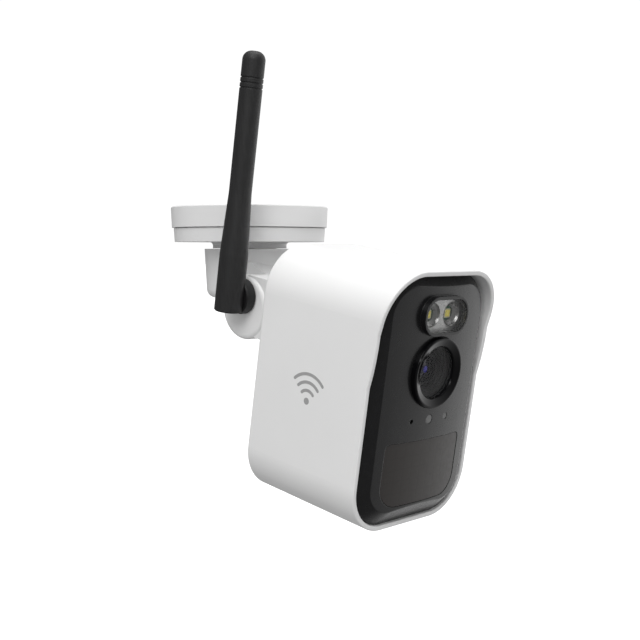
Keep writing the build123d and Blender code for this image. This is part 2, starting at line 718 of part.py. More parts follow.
with BuildPart() as light_window:
    slab(FACE - 0.6, BOSS_FRONT - 0.2, WINDOW_WIDTH, WINDOW_HEIGHT, LIGHT_Z, corner=5.95)
write(light_window, "light_window", HEAD)

with BuildPart() as light_reflector:
    slab(LED_BOARD_FRONT, FACE - 1.0, 25.0, 13.2, LIGHT_Z, corner=6.4)
    for side in (-1, 1):
        cup_points = [(0, 77.0), (2.9, 77.0), (2.9, 78.3), (4.4, 79.2), (5.4, FACE), (0, FACE)]
        turned(cup_points, LIGHT_Z, side * CUP_OFFSET, Mode.SUBTRACT)
write(light_reflector, "light_reflector", HEAD)

with BuildPart() as spot_leds:
    for side in (-1, 1):
        slab(LED_BOARD_FRONT, LED_BOARD_FRONT + 0.9, 3.5, 3.5, LIGHT_Z, side * CUP_OFFSET, 0.3)
write(spot_leds, "spot_leds", HEAD)

with BuildPart() as led_board:
    slab(LED_BOARD_BACK, LED_BOARD_FRONT, 25.0, 13.2, LIGHT_Z, corner=6.4)
write(led_board, "led_board", HEAD)

# ---------------------------------------------------------------- main board and what it carries

with BuildPart() as main_board:
    slab(BOARD_BACK, BOARD_FRONT, 52.0, 82.0, -21.5, corner=8)
    for x, z in STANDOFFS:
        rod(BOARD_BACK, BOARD_FRONT, 1.3, z, x, mode=Mode.SUBTRACT)
write(main_board, "main_board", HEAD)

with BuildPart() as board_screws:
    for x, z in STANDOFFS:
        rod(BOARD_BACK - 1.6, BOARD_BACK, 2.4, z, x)
        rod(BOARD_BACK, 66.0, 1.1, z, x)
write(board_screws, "board_screws", HEAD)

with BuildPart() as board_chips:
    slab(BOARD_FRONT, BOARD_FRONT + 1.2, 12, 12, 10, -8, 0.3)
    slab(BOARD_FRONT, BOARD_FRONT + 1.0, 8, 6, 10, 8, 0.3)
    slab(BOARD_FRONT, BOARD_FRONT + 1.4, 6, 8, -38, -15, 0.3)
    slab(BOARD_FRONT, BOARD_FRONT + 1.8, 5, 5, -38, 15, 0.3)
    slab(BOARD_FRONT, BOARD_FRONT + 1.0, 9, 5, -24, -14, 0.3)
write(board_chips, "board_chips", HEAD)

with BuildPart() as shield_can:
    slab(BOARD_FRONT, BOARD_FRONT + 2.2, 18, 13, -53, -13, 0.6)
write(shield_can, "shield_can", HEAD)

with BuildPart() as card_slot:
    slab(BOARD_FRONT, BOARD_FRONT + 1.8, 14, 15, -52, 14, 0.4)
write(card_slot, "card_slot", HEAD)

# Motion sensor in a round can with a rectangular window
with BuildPart() as pir_sensor:
    rod(BOARD_FRONT, BOARD_FRONT + 0.6, 4.6, -42.0)
    rod(BOARD_FRONT + 0.6, BOARD_FRONT + 4.4, 4.1, -42.0)
    slab(BOARD_FRONT + 4.0, BOARD_FRONT + 5, 4.0, 3.0, -42.0, corner=0.4, mode=Mode.SUBTRACT)
write(pir_sensor, "pir_sensor", HEAD)

with BuildPart() as microphone:
    rod(CAVITY_FRONT - 2.8, CAVITY_FRONT, 3.0, DOTS_Z, -DOT_SPACING)
write(microphone, "microphone", HEAD)

with BuildPart() as light_sensor_pipe:
    rod(BOARD_FRONT + 2.0, FACE - 0.1, 1.7, DOTS_Z)
write(light_sensor_pipe, "light_sensor_pipe", HEAD)

with BuildPart() as status_light_pipe:
    rod(BOARD_FRONT + 2.0, FACE - 0.5, 1.2, DOTS_Z, DOT_SPACING)
write(status_light_pipe, "status_light_pipe", HEAD)

with BuildPart() as signal_parts:
    slab(BOARD_FRONT, BOARD_FRONT + 1.0, 2.6, 2.6, DOTS_Z, corner=0.2)
    slab(BOARD_FRONT, BOARD_FRONT + 1.0, 2.0, 2.0, DOTS_Z, DOT_SPACING, 0.2)
write(signal_parts, "signal_parts", HEAD)

# ---------------------------------------------------------------- antenna, turns about X at its hub

TIP_DOME = 3.6
GROOVES = [88.0, 90.0, 92.0]
# Sheath that swells toward its foot, with a domed tip, shallow grooves and a bore for the radiator
with BuildPart() as antenna_sheath:
    with BuildSketch(Plane((ROD_X, ROD_Y, 0), x_dir=(1, 0, 0), z_dir=(0, -1, 0))):
        with BuildLine():
            Polyline(
                (0, ROD_BOTTOM),
                (ROD_BASE_RADIUS - 0.5, ROD_BOTTOM),
                (ROD_BASE_RADIUS, ROD_BOTTOM + 0.5),
                (ROD_BASE_RADIUS, ROD_FLARE_BOTTOM),
                (ROD_TIP_RADIUS, ROD_FLARE_TOP),
                (ROD_TIP_RADIUS, ROD_TOP),
                (0, ROD_TOP),
                close=True,
            )
        make_face()
    revolve(axis=Axis((ROD_X, ROD_Y, 0), (0, 0, 1)))
    fillet(antenna_sheath.edges().group_by(Axis.Z)[-1], TIP_DOME)
    for groove in GROOVES:
        with BuildSketch(Plane.XY.offset(groove)):
            with Locations((ROD_X, ROD_Y)):
                Circle(ROD_TIP_RADIUS + 1)
                Circle(ROD_TIP_RADIUS - 0.3, mode=Mode.SUBTRACT)
        extrude(amount=0.5, mode=Mode.SUBTRACT)
    with BuildSketch(Plane.XY.offset(12)):
        with Locations((ROD_X, ROD_Y)):
            Circle(2.6)
    extrude(amount=82, mode=Mode.SUBTRACT)
write(antenna_sheath, "antenna_sheath", HEAD)

with BuildPart() as antenna_radiator:
    with BuildSketch(Plane.XY.offset(14)):
        with Locations((ROD_X, ROD_Y)):
            Circle(2.2)
            Circle(1.6, mode=Mode.SUBTRACT)
    extrude(amount=76)
write(antenna_radiator, "antenna_radiator", HEAD)

with BuildPart() as antenna_hub:
    crosswise(-33.6, -LUG_OUTER - 0.3, HUB_RADIUS, ROD_Y, HUB_Z)
    chamfer(antenna_hub.edges().filter_by(GeomType.CIRCLE), 0.4)
    crosswise(-30.2, -LUG_OUTER, 4.0, ROD_Y, HUB_Z, mode=Mode.SUBTRACT)
    with BuildSketch(Plane.XY.offset(-10)):
        with Locations((ROD_X, ROD_Y)):
            Circle(ROD_BASE_RADIUS)
    extrude(amount=30, mode=Mode.SUBTRACT)
write(antenna_hub, "antenna_hub", HEAD)

# Brass pivot that runs in the lug and carries the hub, with its retaining clip
with BuildPart() as antenna_pivot:
    crosswise(-30.15, -LUG_OUTER - 0.3, 3.95, ROD_Y, HUB_Z)
    crosswise(-LUG_OUTER - 0.3, -24.6, SHAFT_RADIUS, ROD_Y, HUB_Z)
    crosswise(-26.3, -25.5, 3.0, ROD_Y, HUB_Z, mode=Mode.SUBTRACT)
    crosswise(-26.3, -25.5, 1.9, ROD_Y, HUB_Z)
write(antenna_pivot, "antenna_pivot", HEAD)

with BuildPart() as pivot_clip:
    crosswise(-26.25, -25.55, 3.6, ROD_Y, HUB_Z)
    crosswise(-27, -25, 1.95, ROD_Y, HUB_Z, mode=Mode.SUBTRACT)
write(pivot_clip, "pivot_clip", HEAD)

# Thin coaxial lead from the pivot through the lug to the main board
COAX_RADIUS = 0.6
coax_x = CABLE_INNER - 1.2
with BuildPart() as antenna_coax:
    with BuildLine() as coax_route:
        FilletPolyline(
            (-24.4, ROD_Y, HUB_Z),
            (coax_x, ROD_Y, HUB_Z),
            (coax_x, -BOARD_BACK + 1.2, HUB_Z),
            radius=2.6,
        )
    with BuildSketch(Plane(coax_route.line @ 0, z_dir=coax_route.line % 0)):
        Circle(COAX_RADIUS)
    sweep(path=coax_route.line)
write(antenna_coax, "antenna_coax", HEAD)

with BuildPart() as coax_plug:
    slab(BOARD_BACK - 1.2, BOARD_BACK, 3.0, 3.0, HUB_Z, coax_x, 0.4)
write(coax_plug, "coax_plug", HEAD)
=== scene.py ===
import json
import math

import bmesh
import bpy
from mathutils import Matrix, Vector


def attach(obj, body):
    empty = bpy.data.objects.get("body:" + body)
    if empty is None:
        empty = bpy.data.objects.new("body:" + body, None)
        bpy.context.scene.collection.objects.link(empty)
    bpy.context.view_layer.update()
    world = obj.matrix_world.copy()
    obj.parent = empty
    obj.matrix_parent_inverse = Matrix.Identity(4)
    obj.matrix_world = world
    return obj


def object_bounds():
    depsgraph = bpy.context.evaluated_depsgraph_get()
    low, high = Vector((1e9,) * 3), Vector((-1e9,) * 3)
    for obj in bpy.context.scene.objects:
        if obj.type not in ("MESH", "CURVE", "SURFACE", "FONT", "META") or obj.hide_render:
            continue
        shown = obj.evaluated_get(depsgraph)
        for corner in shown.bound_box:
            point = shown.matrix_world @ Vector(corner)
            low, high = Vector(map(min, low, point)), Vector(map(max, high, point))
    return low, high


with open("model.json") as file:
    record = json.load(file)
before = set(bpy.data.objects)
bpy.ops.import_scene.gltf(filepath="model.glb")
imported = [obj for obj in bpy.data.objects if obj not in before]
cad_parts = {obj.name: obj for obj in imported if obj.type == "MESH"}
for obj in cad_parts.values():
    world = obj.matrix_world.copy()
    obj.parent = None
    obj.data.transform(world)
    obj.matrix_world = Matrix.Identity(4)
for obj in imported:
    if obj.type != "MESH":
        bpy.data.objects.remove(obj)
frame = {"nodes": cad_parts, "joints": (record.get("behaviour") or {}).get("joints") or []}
cad_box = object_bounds()
MM = 0.001

# The head's own frame: x to the camera's left side, forward out of its face, z up its back.
# Its origin is the tilt hinge, and the head rests nose down by REST_TILT.
REST_TILT = math.radians(9.3)
HINGE = Vector(next(j["pos_m"] for j in frame["joints"] if j["name"] == "tilt"))
HEAD = Matrix.Translation(HINGE) @ Matrix.Rotation(REST_TILT, 4, "X")

# Places on the head, in millimetres. Names that end in FRONT, BACK or FACE are forward distances.
SIDE_X = -34.15
FACE = 81.1
CAVITY_FRONT = 76.6
LIGHT_Z = 12.2
LED_X = 5.95
LED_FRONT = 78.3
LENS_Z = -10.2
RING_FRONT = FACE + 1.8
BARREL_FRONT = RING_FRONT - 3.4
ELEMENT_RADIUS = 5.6
DOTS_Z = -28.8
MIC_X = -10.4
MOTION_MIDDLE_Z = -50.0
COVER_FRONT = 20.1
GRILLE_Z = -54.0
WELL_Z = -29.0
SOCKET_X = -5.0
TONGUE_BACK = 26.35
BUTTON_X = 7.0
BUTTON_BACK = 23.75


# ---------------------------------------------------------------- node building blocks


def new_material(name, colour, roughness, **fixed):
    """A material with one Principled shader, and its tree and shader."""
    material = bpy.data.materials.new(name)
    material.use_nodes = True
    tree = material.node_tree
    shader = tree.nodes["Principled BSDF"]
    shader.inputs["Base Color"].default_value = (*colour, 1)
    shader.inputs["Roughness"].default_value = roughness
    for key, value in fixed.items():
        shader.inputs[key.replace("_", " ")].default_value = value
    material.diffuse_color = (*colour, 1)
    return material, tree, shader


def coordinates(tree, scale=(1, 1, 1), origin=(0, 0, 0), turn=(0, 0, 0)):
    """Object coordinates in metres, seen from a point and stretched by axis."""
    place = tree.nodes.new("ShaderNodeTexCoord")
    mapping = tree.nodes.new("ShaderNodeMapping")
    mapping.vector_type = "TEXTURE"
    mapping.inputs["Location"].default_value = origin
    mapping.inputs["Rotation"].default_value = turn
    mapping.inputs["Scale"].default_value = [1 / s for s in scale]
    tree.links.new(place.outputs["Object"], mapping.inputs["Vector"])
    return mapping.outputs["Vector"]


def noise(tree, where, scale, detail=2.0, roughness=0.5):
    """Smooth noise of 0 to 1; a larger scale is finer."""
    texture = tree.nodes.new("ShaderNodeTexNoise")
    texture.inputs["Scale"].default_value = scale
    texture.inputs["Detail"].default_value = detail
    texture.inputs["Roughness"].default_value = roughness
    tree.links.new(where, texture.inputs["Vector"])
    return texture.outputs["Fac"]


def ramp(tree, value, stops, smooth=False):
    """A colour ramp fed by value; stops are (place, colour)."""
    node = tree.nodes.new("ShaderNodeValToRGB")
    node.color_ramp.interpolation = "EASE" if smooth else "LINEAR"
    first, last = node.color_ramp.elements
    first.position, first.color = stops[0][0], (*stops[0][1], 1)
    last.position, last.color = stops[-1][0], (*stops[-1][1], 1)
    for place, colour in stops[1:-1]:
        node.color_ramp.elements.new(place).color = (*colour, 1)
    tree.links.new(value, node.inputs["Fac"])
    return node.outputs["Color"]


def spread(tree, value, low, high, start=0.3, end=0.7):
    """value between start and end, mapped to low and high."""
    node = tree.nodes.new("ShaderNodeMapRange")
    node.inputs["From Min"].default_value = start
    node.inputs["From Max"].default_value = end
    node.inputs["To Min"].default_value = low
    node.inputs["To Max"].default_value = high
    tree.links.new(value, node.inputs["Value"])
    return node.outputs["Result"]


def rounded_edges(tree, radius):
    """Shading normals that run round a sharp edge by radius."""
    node = tree.nodes.new("ShaderNodeBevel")
    node.samples = 6
    node.inputs["Radius"].default_value = radius
    return node.outputs["Normal"]


def emboss(tree, shader, height, distance, strength=1.0, normal=None):
    """Bumps the shader by a height of 0 to 1, distance metres deep."""
    node = tree.nodes.new("ShaderNodeBump")
    node.inputs["Strength"].default_value = strength
    node.inputs["Distance"].default_value = distance
    tree.links.new(height, node.inputs["Height"])
    if normal is not None:
        tree.links.new(normal, node.inputs["Normal"])
    tree.links.new(node.outputs["Normal"], shader.inputs["Normal"])


def shaded(colour, factor):
    """The colour made darker or lighter by factor."""
    return tuple(min(1.0, channel * factor) for channel in colour)


# ---------------------------------------------------------------- materials


def moulded(name, colour, roughness, grain=0.00002, grain_scale=2600, variety=0.03, edge=0.0003, **fixed):
    """Injection moulded plastic: spark-eroded grain, faint flow mottling, softened edges."""
    material, tree, shader = new_material(name, colour, roughness, **fixed)
    where = coordinates(tree)
    flow = noise(tree, where, 38, 3.0)
    fine = noise(tree, where, grain_scale, 1.0)
    tones = [(0.3, shaded(colour, 1 - variety)), (0.7, shaded(colour, 1 + variety))]
    tree.links.new(ramp(tree, flow, tones), shader.inputs["Base Color"])
    rough = spread(tree, noise(tree, where, 160, 2.0), roughness - 0.04, roughness + 0.04)
    tree.links.new(rough, shader.inputs["Roughness"])
    emboss(tree, shader, fine, grain, normal=rounded_edges(tree, edge))
    return material


def brushed(name, colour, roughness, stretch=(1, 1, 30)):
    """Turned or brushed metal with fine drawn lines."""
    material, tree, shader = new_material(name, colour, roughness, Metallic=1.0)
    where = coordinates(tree, stretch)
    lines = noise(tree, where, 900, 4.0, 0.65)
    tones = [(0.3, shaded(colour, 0.8)), (0.7, shaded(colour, 1.12))]
    tree.links.new(ramp(tree, lines, tones), shader.inputs["Base Color"])
    tree.links.new(spread(tree, lines, roughness - 0.08, roughness + 0.1), shader.inputs["Roughness"])
    emboss(tree, shader, lines, 0.00001, normal=rounded_edges(tree, 0.0002))
    return material


def rubber(name, colour, roughness, grain=0.00004):
    """Soft rubber: matt, slightly dusty, with a coarse grain."""
    material, tree, shader = new_material(name, colour, roughness, Specular_IOR_Level=0.35)
    where = coordinates(tree)
    dust = noise(tree, where, 110, 5.0, 0.6)
    tones = [(0.35, shaded(colour, 0.85)), (0.75, shaded(colour, 1.35))]
    tree.links.new(ramp(tree, dust, tones), shader.inputs["Base Color"])
    tree.links.new(spread(tree, dust, roughness - 0.06, roughness + 0.08), shader.inputs["Roughness"])
    emboss(tree, shader, noise(tree, where, 1900, 2.0), grain, normal=rounded_edges(tree, 0.0003))
    return material


def antenna_rubber(name, colour):
    """The antenna's moulded sleeve: fine lengthwise drag lines over a matt grain."""
    material, tree, shader = new_material(name, colour, 0.52, Specular_IOR_Level=0.4)
    where = coordinates(tree)
    drag = noise(tree, coordinates(tree, (1, 1, 0.04)), 1400, 3.0)
    grain = noise(tree, where, 2200, 1.0)
    tones = [(0.3, shaded(colour, 0.88)), (0.7, shaded(colour, 1.2))]
    tree.links.new(ramp(tree, drag, tones), shader.inputs["Base Color"])
    tree.links.new(spread(tree, grain, 0.44, 0.58), shader.inputs["Roughness"])
    emboss(tree, shader, grain, 0.00003, normal=rounded_edges(tree, 0.0003))
    return material


def gloss(name, colour, roughness, coat=0.35, edge=0.00025, specular=0.5):
    """Polished plastic: nearly smooth, with a faint orange-peel swell and hairline haze."""
    material, tree, shader = new_material(name, colour, roughness, Coat_Weight=coat, Coat_Roughness=0.06)
    shader.inputs["Specular IOR Level"].default_value = specular
    where = coordinates(tree)
    haze = noise(tree, where, 420, 4.0, 0.6)
    tones = [(0.3, shaded(colour, 0.9)), (0.75, shaded(colour, 1.15))]
    tree.links.new(ramp(tree, haze, tones), shader.inputs["Base Color"])
    tree.links.new(spread(tree, haze, roughness - 0.03, roughness + 0.05), shader.inputs["Roughness"])
    emboss(tree, shader, noise(tree, where, 240, 1.0), 0.00001, normal=rounded_edges(tree, edge))
    return material


def motion_film(name, colour):
    """The motion sensor's thin moulded window, with the faint lens facets of its inner side."""
    material, tree, shader = new_material(name, colour, 0.34, Specular_IOR_Level=0.45)
    centre = HEAD @ Vector((0, -FACE * MM, MOTION_MIDDLE_Z * MM))
    cells = tree.nodes.new("ShaderNodeTexVoronoi")
    cells.feature = "DISTANCE_TO_EDGE"
    cells.inputs["Scale"].default_value = 210
    cells.inputs["Randomness"].default_value = 0.15
    tree.links.new(coordinates(tree, (1, 0.05, 1), centre), cells.inputs["Vector"])
    borders = spread(tree, cells.outputs["Distance"], 0.0, 1.0, 0.0, 0.09)
    tones = [(0.0, shaded(colour, 0.86)), (1.0, colour)]
    tree.links.new(ramp(tree, borders, tones), shader.inputs["Base Color"])
    haze = noise(tree, coordinates(tree), 500, 3.0)
    tree.links.new(spread(tree, haze, 0.3, 0.4), shader.inputs["Roughness"])
    emboss(tree, shader, borders, 0.00001, 0.5, rounded_edges(tree, 0.0002))
    return material


def clear(name, colour, alpha, roughness=0.06):
    """A clear window: mostly see-through, with a little haze and a polished skin."""
    material, tree, shader = new_material(name, colour, roughness, Specular_IOR_Level=0.7)
    where = coordinates(tree)
    haze = noise(tree, where, 300, 3.0)
    tones = [(0.3, shaded(colour, 0.92)), (0.7, shaded(colour, 1.06))]
    tree.links.new(ramp(tree, haze, tones), shader.inputs["Base Color"])
    tree.links.new(spread(tree, haze, roughness, roughness + 0.04), shader.inputs["Roughness"])
    shader.inputs["Alpha"].default_value = alpha
    return material


def glass_with_painted_glint(name):
    """The front lens element: dark glass with a painted violet reflection at its middle, a faint lighter
    ring, and darker towards its rim.
    """
    dark = (0.02, 0.02, 0.022)
    material, tree, shader = new_material(name, dark, 0.05, Coat_Weight=0.6, Coat_Roughness=0.03)
    axis = HEAD @ Vector((0, -FACE * MM, LENS_Z * MM))
    where = coordinates(tree, (1, 1, 1), axis, (REST_TILT, 0, 0))
    flat = tree.nodes.new("ShaderNodeVectorMath")
    flat.operation = "MULTIPLY"
    flat.inputs[1].default_value = (1, 0, 1)
    tree.links.new(where, flat.inputs[0])
    radius = tree.nodes.new("ShaderNodeVectorMath")
    radius.operation = "LENGTH"
    tree.links.new(flat.outputs["Vector"], radius.inputs[0])
    across = spread(tree, radius.outputs["Value"], 0.0, 1.0, 0.0, ELEMENT_RADIUS * MM)
    # The violet middle is a painted reflection, the glint of the coating; further out the ramp is a faint
    # lighter ring at about two thirds of the radius, then darker towards the rim.
    stops = [
        (0.0, (0.12, 0.1, 0.62)),
        (0.2, (0.09, 0.08, 0.5)),
        (0.27, (0.02, 0.018, 0.05)),
        (0.6, (0.03, 0.03, 0.03)),
        (0.66, (0.045, 0.043, 0.045)),
        (0.7, (0.026, 0.026, 0.027)),
        (1.0, (0.012, 0.012, 0.013)),
    ]
    tree.links.new(ramp(tree, across, stops), shader.inputs["Base Color"])
    haze = noise(tree, coordinates(tree), 900, 2.0)
    tree.links.new(spread(tree, haze, 0.03, 0.09), shader.inputs["Roughness"])
    return material


def circuit_board(name, colour):
    """Solder resist over copper: tracks show as slightly raised, lighter lines."""
    material, tree, shader = new_material(name, colour, 0.35, Coat_Weight=0.4)
    bricks = tree.nodes.new("ShaderNodeTexBrick")
    bricks.inputs["Scale"].default_value = 260
    bricks.inputs["Mortar Size"].default_value = 0.035
    bricks.inputs["Color1"].default_value = (*shaded(colour, 0.9), 1)
    bricks.inputs["Color2"].default_value = (*colour, 1)
    bricks.inputs["Mortar"].default_value = (*shaded(colour, 1.9), 1)
    where = coordinates(tree, (1, 1, 1), (0, 0, 0), (math.pi / 2, 0, 0))
    tree.links.new(where, bricks.inputs["Vector"])
    tree.links.new(bricks.outputs["Color"], shader.inputs["Base Color"])
    haze = noise(tree, where, 600, 2.0)
    tree.links.new(spread(tree, haze, 0.28, 0.42), shader.inputs["Roughness"])
    emboss(tree, shader, bricks.outputs["Fac"], 0.00003, 0.6)
    return material


def polished(name, colour, roughness):
    """Vacuum-coated reflector: bright, with a slight ripple from its moulding."""
    material, tree, shader = new_material(name, colour, roughness, Metallic=0.92)
    where = coordinates(tree)
    ripple = noise(tree, where, 700, 2.0)
    tones = [(0.3, shaded(colour, 0.85)), (0.7, shaded(colour, 1.05))]
    tree.links.new(ramp(tree, ripple, tones), shader.inputs["Base Color"])
    tree.links.new(spread(tree, ripple, roughness - 0.05, roughness + 0.07), shader.inputs["Roughness"])
    emboss(tree, shader, ripple, 0.00003, 0.7)
    return material


def phosphor(name):
    """Yellow phosphor silicone over a white light chip: grainy, with a faint painted glow."""
    colour = (0.82, 0.7, 0.13)
    # The emission is a painted glow; the phosphor is no lamp.
    material, tree, shader = new_material(name, colour, 0.4, Emission_Strength=0.12)
    shader.inputs["Emission Color"].default_value = (0.9, 0.8, 0.2, 1)
    where = coordinates(tree)
    grain = noise(tree, where, 5200, 4.0, 0.7)
    tones = [(0.3, shaded(colour, 0.75)), (0.7, shaded(colour, 1.15))]
    tree.links.new(ramp(tree, grain, tones), shader.inputs["Base Color"])
    tree.links.new(spread(tree, grain, 0.32, 0.5), shader.inputs["Roughness"])
    emboss(tree, shader, grain, 0.00004, 0.7)
    return material


def woven(name, colour):
    """Fine acoustic gauze."""
    material, tree, shader = new_material(name, colour, 0.7)
    where = coordinates(tree, (1, 1, 1), (0, 0, 0), (REST_TILT, 0, 0))
    checks = tree.nodes.new("ShaderNodeTexChecker")
    checks.inputs["Scale"].default_value = 3300
    checks.inputs["Color1"].default_value = (*shaded(colour, 0.5), 1)
    checks.inputs["Color2"].default_value = (*shaded(colour, 1.7), 1)
    tree.links.new(where, checks.inputs["Vector"])
    tree.links.new(checks.outputs["Color"], shader.inputs["Base Color"])
    tree.links.new(spread(tree, noise(tree, where, 800, 2.0), 0.6, 0.8), shader.inputs["Roughness"])
    emboss(tree, shader, checks.outputs["Fac"], 0.00006, 0.6)
    return material


def pad_printed(name, colour):
    """A thin coat of grey printing ink, uneven as ink on grained plastic is."""
    material, tree, shader = new_material(name, colour, 0.55)
    where = coordinates(tree)
    film = noise(tree, where, 1500, 3.0, 0.6)
    tones = [(0.3, shaded(colour, 0.93)), (0.7, shaded(colour, 1.07))]
    tree.links.new(ramp(tree, film, tones), shader.inputs["Base Color"])
    tree.links.new(spread(tree, film, 0.48, 0.62), shader.inputs["Roughness"])
    emboss(tree, shader, noise(tree, where, 2600, 1.0), 0.00002)
    return material


FINISHES = {
    "white_shell": moulded(
        "shell_white", (0.83, 0.83, 0.828), 0.36, grain=0.00001, grain_scale=3000, variety=0.01, edge=0.0005
    ),
    "white_mount": moulded(
        "mount_white", (0.8, 0.8, 0.8), 0.42, grain=0.000015, grain_scale=2600, variety=0.012, edge=0.0004
    ),
    "black_gloss": gloss("gloss_black", (0.0025, 0.0025, 0.003), 0.08, coat=0.0, specular=0.25),
    "black_face": gloss("face_black", (0.0085, 0.0085, 0.009), 0.24, coat=0.0, edge=0.0004),
    "black_antenna": antenna_rubber("antenna_black", (0.02, 0.02, 0.0205)),
    "motion_window": motion_film("motion_film", (0.02, 0.016, 0.014)),
    "clear_window": clear("window_clear", (0.2, 0.2, 0.2), alpha=0.1),
    "lens_glass": clear("glass_lens", (0.03, 0.03, 0.032), alpha=0.12, roughness=0.03),
    "steel": brushed("steel_brushed", (0.6, 0.6, 0.62), 0.3),
    "brass": brushed("brass_turned", (0.72, 0.52, 0.24), 0.28, stretch=(30, 1, 1)),
    "rubber_grey": rubber("seal_grey", (0.5, 0.5, 0.49), 0.62),
    "rubber_black": rubber("seal_black", (0.02, 0.02, 0.02), 0.6),
    "nylon": moulded("nylon_natural", (0.76, 0.73, 0.65), 0.45, grain_scale=1800, variety=0.04),
    "board_green": circuit_board("board_resist", (0.012, 0.11, 0.05)),
    "chip_black": moulded(
        "chip_epoxy", (0.02, 0.02, 0.022), 0.55, grain=0.00003, grain_scale=4200, variety=0.15, edge=0.0001
    ),
    "reflector_metal": polished("reflector_bright", (0.5, 0.5, 0.495), 0.3),
    "led_package": moulded(
        "led_ceramic", (0.78, 0.75, 0.55), 0.5, grain=0.00001, grain_scale=4000, variety=0.05, edge=0.0001
    ),
    "battery_wrap": gloss("battery_film", (0.03, 0.11, 0.34), 0.25),
    "speaker_frame": moulded(
        "speaker_frame_black", (0.02, 0.02, 0.02), 0.45, grain=0.00003, grain_scale=2200, variety=0.1
    ),
    "speaker_cone": woven("cone_pulp", (0.02, 0.02, 0.02)),
    "light_pipe": gloss("pipe_smoked", (0.1, 0.1, 0.1), 0.22, coat=0.3),
    "coax_jacket": gloss("coax_jacket_black", (0.015, 0.015, 0.015), 0.35),
}
NODE_FINISHES = {
    "lens_element": glass_with_painted_glint("glass_painted_glint"),
    "lens_barrel": moulded(
        "barrel_black", (0.011, 0.011, 0.011), 0.5, grain_scale=3500, variety=0.1, edge=0.0001
    ),
    "antenna_hub": antenna_rubber("hub_black", (0.006, 0.006, 0.0065)),
}

for name, node in frame["nodes"].items():
    for socket in node.material_slots:
        socket.material = NODE_FINISHES.get(name) or FINISHES[socket.material.name]


# ---------------------------------------------------------------- mesh building blocks


def add_piece(name, shape, body, material, place=HEAD, smooth=40.0):
    """Turns a bmesh in millimetres, in the head's frame or in place's, into a piece that rides on body."""
    bmesh.ops.remove_doubles(shape, verts=shape.verts, dist=1e-4)
    bmesh.ops.recalc_face_normals(shape, faces=shape.faces)
    mesh = bpy.data.meshes.new(name)
    shape.to_mesh(mesh)
    shape.free()
    mesh.transform(place @ Matrix.Scale(MM, 4))
    mesh.shade_smooth()
    mesh.set_sharp_from_angle(angle=math.radians(smooth))
    mesh.materials.append(material)
    piece = bpy.data.objects.new(name, mesh)
    bpy.context.scene.collection.objects.link(piece)
    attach(piece, body)
    return piece


def revolve(profile, x=0.0, z=0.0, steps=72, shape=None):
    """A closed (radius, forward) outline turned about the forward axis through x and z."""
    shape = shape or bmesh.new()
    rings = []
    for step in range(steps):
        angle = 2 * math.pi * step / steps
        across, up = math.cos(angle), math.sin(angle)
        rings.append([shape.verts.new((x + r * across, -f, z + r * up)) for r, f in profile])
    for ring, following in zip(rings, rings[1:] + rings[:1]):
        for k in range(len(profile)):
            n = (k + 1) % len(profile)
            if profile[k][0] or profile[n][0]:
                shape.faces.new((ring[k], ring[n], following[n], following[k]))
    return shape


def prism(points, low, high, axis, shape=None):
    """A flat outline given a thickness: along x the outline is (forward, z), along y it is (x, z)."""
    shape = shape or bmesh.new()

    def spot(a, b, level):
        return (level, -a, b) if axis == "x" else (a, -level, b)

    bottom = [shape.verts.new(spot(a, b, low)) for a, b in points]
    top = [shape.verts.new(spot(a, b, high)) for a, b in points]
    shape.faces.new(bottom)
    shape.faces.new(top)
    for k in range(len(points)):
        n = (k + 1) % len(points)
        shape.faces.new((bottom[k], bottom[n], top[n], top[k]))
    return shape


def arc_points(centre, radius, start, end, steps):
    """Points on a circle from start to end degrees."""
    angles = [math.radians(start + (end - start) * k / steps) for k in range(steps + 1)]
    return [(centre[0] + radius * math.cos(a), centre[1] + radius * math.sin(a)) for a in angles]


def band(centre, radius, width, start, end, steps=24):
    """The outline of an arc-shaped stroke with round ends."""
    outer = arc_points(centre, radius + width / 2, start, end, steps)
    inner = arc_points(centre, radius - width / 2, end, start, steps)
    head = arc_points(centre, radius, end, end, 1)[0]
    tail = arc_points(centre, radius, start, start, 1)[0]
    cap = arc_points(head, width / 2, end, end + 180, 8)[1:-1]
    foot = arc_points(tail, width / 2, start + 180, start + 360, 8)[1:-1]
    return outer + cap + inner + foot


def rounded_box(width, height, corner, x=0.0, z=0.0, steps=8):
    """The outline of a rectangle with round corners."""
    points = []
    for sign_x, sign_z, start in ((1, 1, 0), (-1, 1, 90), (-1, -1, 180), (1, -1, 270)):
        centre = (x + sign_x * (width / 2 - corner), z + sign_z * (height / 2 - corner))
        points += arc_points(centre, corner, start, start + 90, steps)
    return points


# ---------------------------------------------------------------- printed mark on the side

ink = pad_printed("print_grey", (0.36, 0.36, 0.36))
PRINT = 0.04
MARK_CENTRE = (47.5, -27.0)
STROKE = 1.25
strokes = bmesh.new()
for radius in (4.2, 7.4, 10.6):
    prism(band(MARK_CENTRE, radius, STROKE, 45, 135), SIDE_X - PRINT, SIDE_X, "x", strokes)
prism(arc_points(MARK_CENTRE, 1.35, 0, 348, 29), SIDE_X - PRINT, SIDE_X, "x", strokes)
add_piece("wireless_mark", strokes, "head", ink)


# ---------------------------------------------------------------- spotlight

# Each dome of phosphor is a stack of rounded squares: their widths and heights above the LED.
DOME_LEVELS = [(2.7, -0.05), (2.7, 0.12), (2.35, 0.26), (1.4, 0.34)]
DOME_CORNER = 0.16
domes = bmesh.new()
for side in (-1, 1):
    loops = []
    for width, rise in DOME_LEVELS:
        square = rounded_box(width, width, width * DOME_CORNER, side * LED_X, LIGHT_Z, 4)
        loops.append([domes.verts.new((x, -LED_FRONT - rise, z)) for x, z in square])
    for lower, upper in zip(loops, loops[1:]):
        for k in range(len(lower)):
            n = (k + 1) % len(lower)
            domes.faces.new((lower[k], lower[n], upper[n], upper[k]))
    domes.faces.new(loops[0])
    domes.faces.new(loops[-1])
add_piece("led_phosphor", domes, "head", phosphor("phosphor_yellow_painted_glow"))


# ---------------------------------------------------------------- lens

